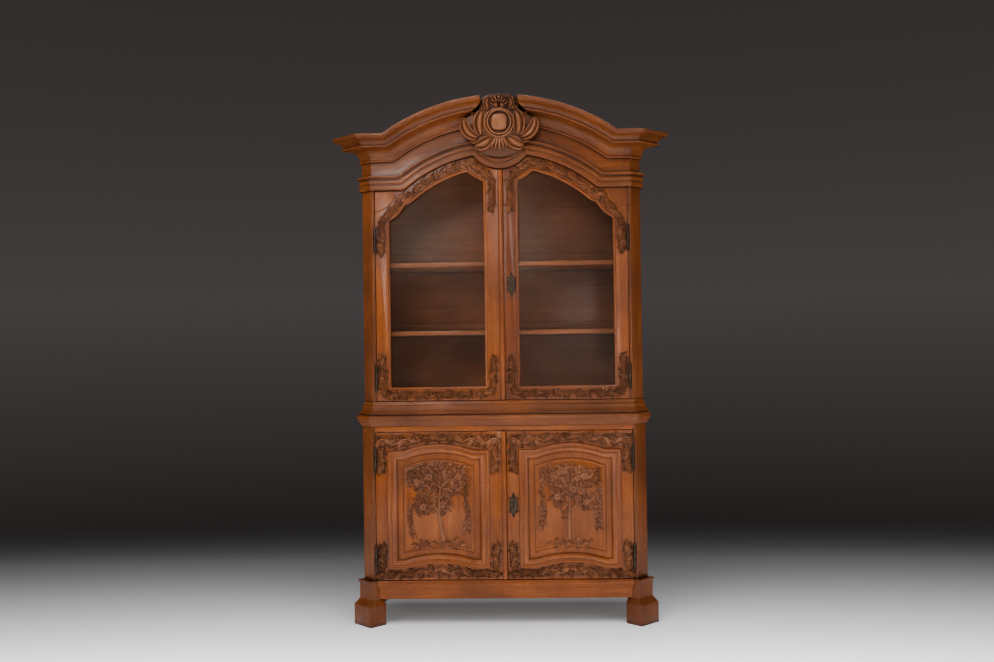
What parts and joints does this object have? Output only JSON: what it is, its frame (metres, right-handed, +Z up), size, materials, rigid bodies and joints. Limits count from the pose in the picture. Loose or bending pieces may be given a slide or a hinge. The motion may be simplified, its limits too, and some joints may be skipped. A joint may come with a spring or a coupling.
{
  "type": "glazed hutch",
  "caption": "Carved hardwood display hutch: glazed upper case under an arched cornice with a cartouche crest, on a panelled base cupboard with canted corners and block feet.",
  "frame": {"origin": "on the floor, in the middle of the overall width and depth", "axes": "+Z up, -Y to the front, +X to the right seen from the front"},
  "size_m": [1.53, 0.605, 2.3991],
  "materials": {
    "oak": "waxed and polished honey-brown oak",
    "oak_inside": "darker oiled oak inside the cases",
    "glass": "clear old sheet glass",
    "iron": "dark browned iron"
  },
  "bodies": {
    "carcass": {"architrave": "oak", "base_back": "oak_inside", "base_back_post_left": "oak", "base_back_post_right": "oak", "base_bottom_rail": "oak", "base_corner_post_left": "oak", "base_corner_post_right": "oak", "base_floor": "oak_inside", "base_shelf": "oak_inside", "base_side_left": "oak", "base_side_right": "oak", "base_top": "oak", "base_top_rail": "oak", "cornice_arch": "oak", "cornice_return_left": "oak", "cornice_return_right": "oak", "crest_cartouche": "oak", "foot_front_left": "oak", "foot_front_right": "oak", "frieze_board": "oak", "lower_left_door_high_hinge_pin": "iron", "lower_left_door_low_hinge_pin": "iron", "lower_right_door_high_hinge_pin": "iron", "lower_right_door_low_hinge_pin": "iron", "upper_back": "oak_inside", "upper_corner_post_left": "oak", "upper_corner_post_right": "oak", "upper_floor": "oak_inside", "upper_left_door_high_hinge_pin": "iron", "upper_left_door_low_hinge_pin": "iron", "upper_plinth": "oak", "upper_right_door_high_hinge_pin": "iron", "upper_right_door_low_hinge_pin": "iron", "upper_roof": "oak_inside", "upper_shelf_high": "oak_inside", "upper_shelf_low": "oak_inside", "upper_side_left": "oak", "upper_side_right": "oak"},
    "upper_left_door": {"upper_left_door_frame": "oak", "upper_left_door_high_hinge_knuckle": "iron", "upper_left_door_low_hinge_knuckle": "iron", "upper_left_glass": "glass"},
    "upper_right_door": {"upper_escutcheon": "iron", "upper_lock_case": "iron", "upper_right_door_frame": "oak", "upper_right_door_high_hinge_knuckle": "iron", "upper_right_door_low_hinge_knuckle": "iron", "upper_right_glass": "glass"},
    "lower_left_door": {"lower_left_door_frame": "oak", "lower_left_door_high_hinge_knuckle": "iron", "lower_left_door_low_hinge_knuckle": "iron", "lower_left_panel": "oak"},
    "lower_right_door": {"lower_escutcheon": "iron", "lower_lock_case": "iron", "lower_right_door_frame": "oak", "lower_right_door_high_hinge_knuckle": "iron", "lower_right_door_low_hinge_knuckle": "iron", "lower_right_panel": "oak"},
    "lower_lock_bolt": {"lower_lock_bolt": "iron"},
    "upper_lock_bolt": {"upper_lock_bolt": "iron"}
  },
  "joints": [
    {"name": "upper_left_door_swing", "type": "hinge", "parent": "carcass", "child": "upper_left_door", "pos_m": [-0.5763, -0.1835, 1.0151], "axis": [0, 0, -1], "range_deg": [0, 110]},
    {"name": "upper_right_door_swing", "type": "hinge", "parent": "carcass", "child": "upper_right_door", "pos_m": [0.5763, -0.1835, 1.0151], "axis": [0, 0, 1], "range_deg": [0, 110]},
    {"name": "lower_left_door_swing", "type": "hinge", "parent": "carcass", "child": "lower_left_door", "pos_m": [-0.5843, -0.2035, 0.2046], "axis": [0, 0, -1], "range_deg": [0, 110]},
    {"name": "lower_right_door_swing", "type": "hinge", "parent": "carcass", "child": "lower_right_door", "pos_m": [0.5843, -0.2035, 0.2046], "axis": [0, 0, 1], "range_deg": [0, 110]},
    {"name": "upper_lock_bolt_slide", "type": "slide", "parent": "upper_right_door", "child": "upper_lock_bolt", "axis": [-1, 0, 0], "range_m": [0, 0.012]},
    {"name": "lower_lock_bolt_slide", "type": "slide", "parent": "lower_right_door", "child": "lower_lock_bolt", "axis": [-1, 0, 0], "range_m": [0, 0.012]}
  ]
}
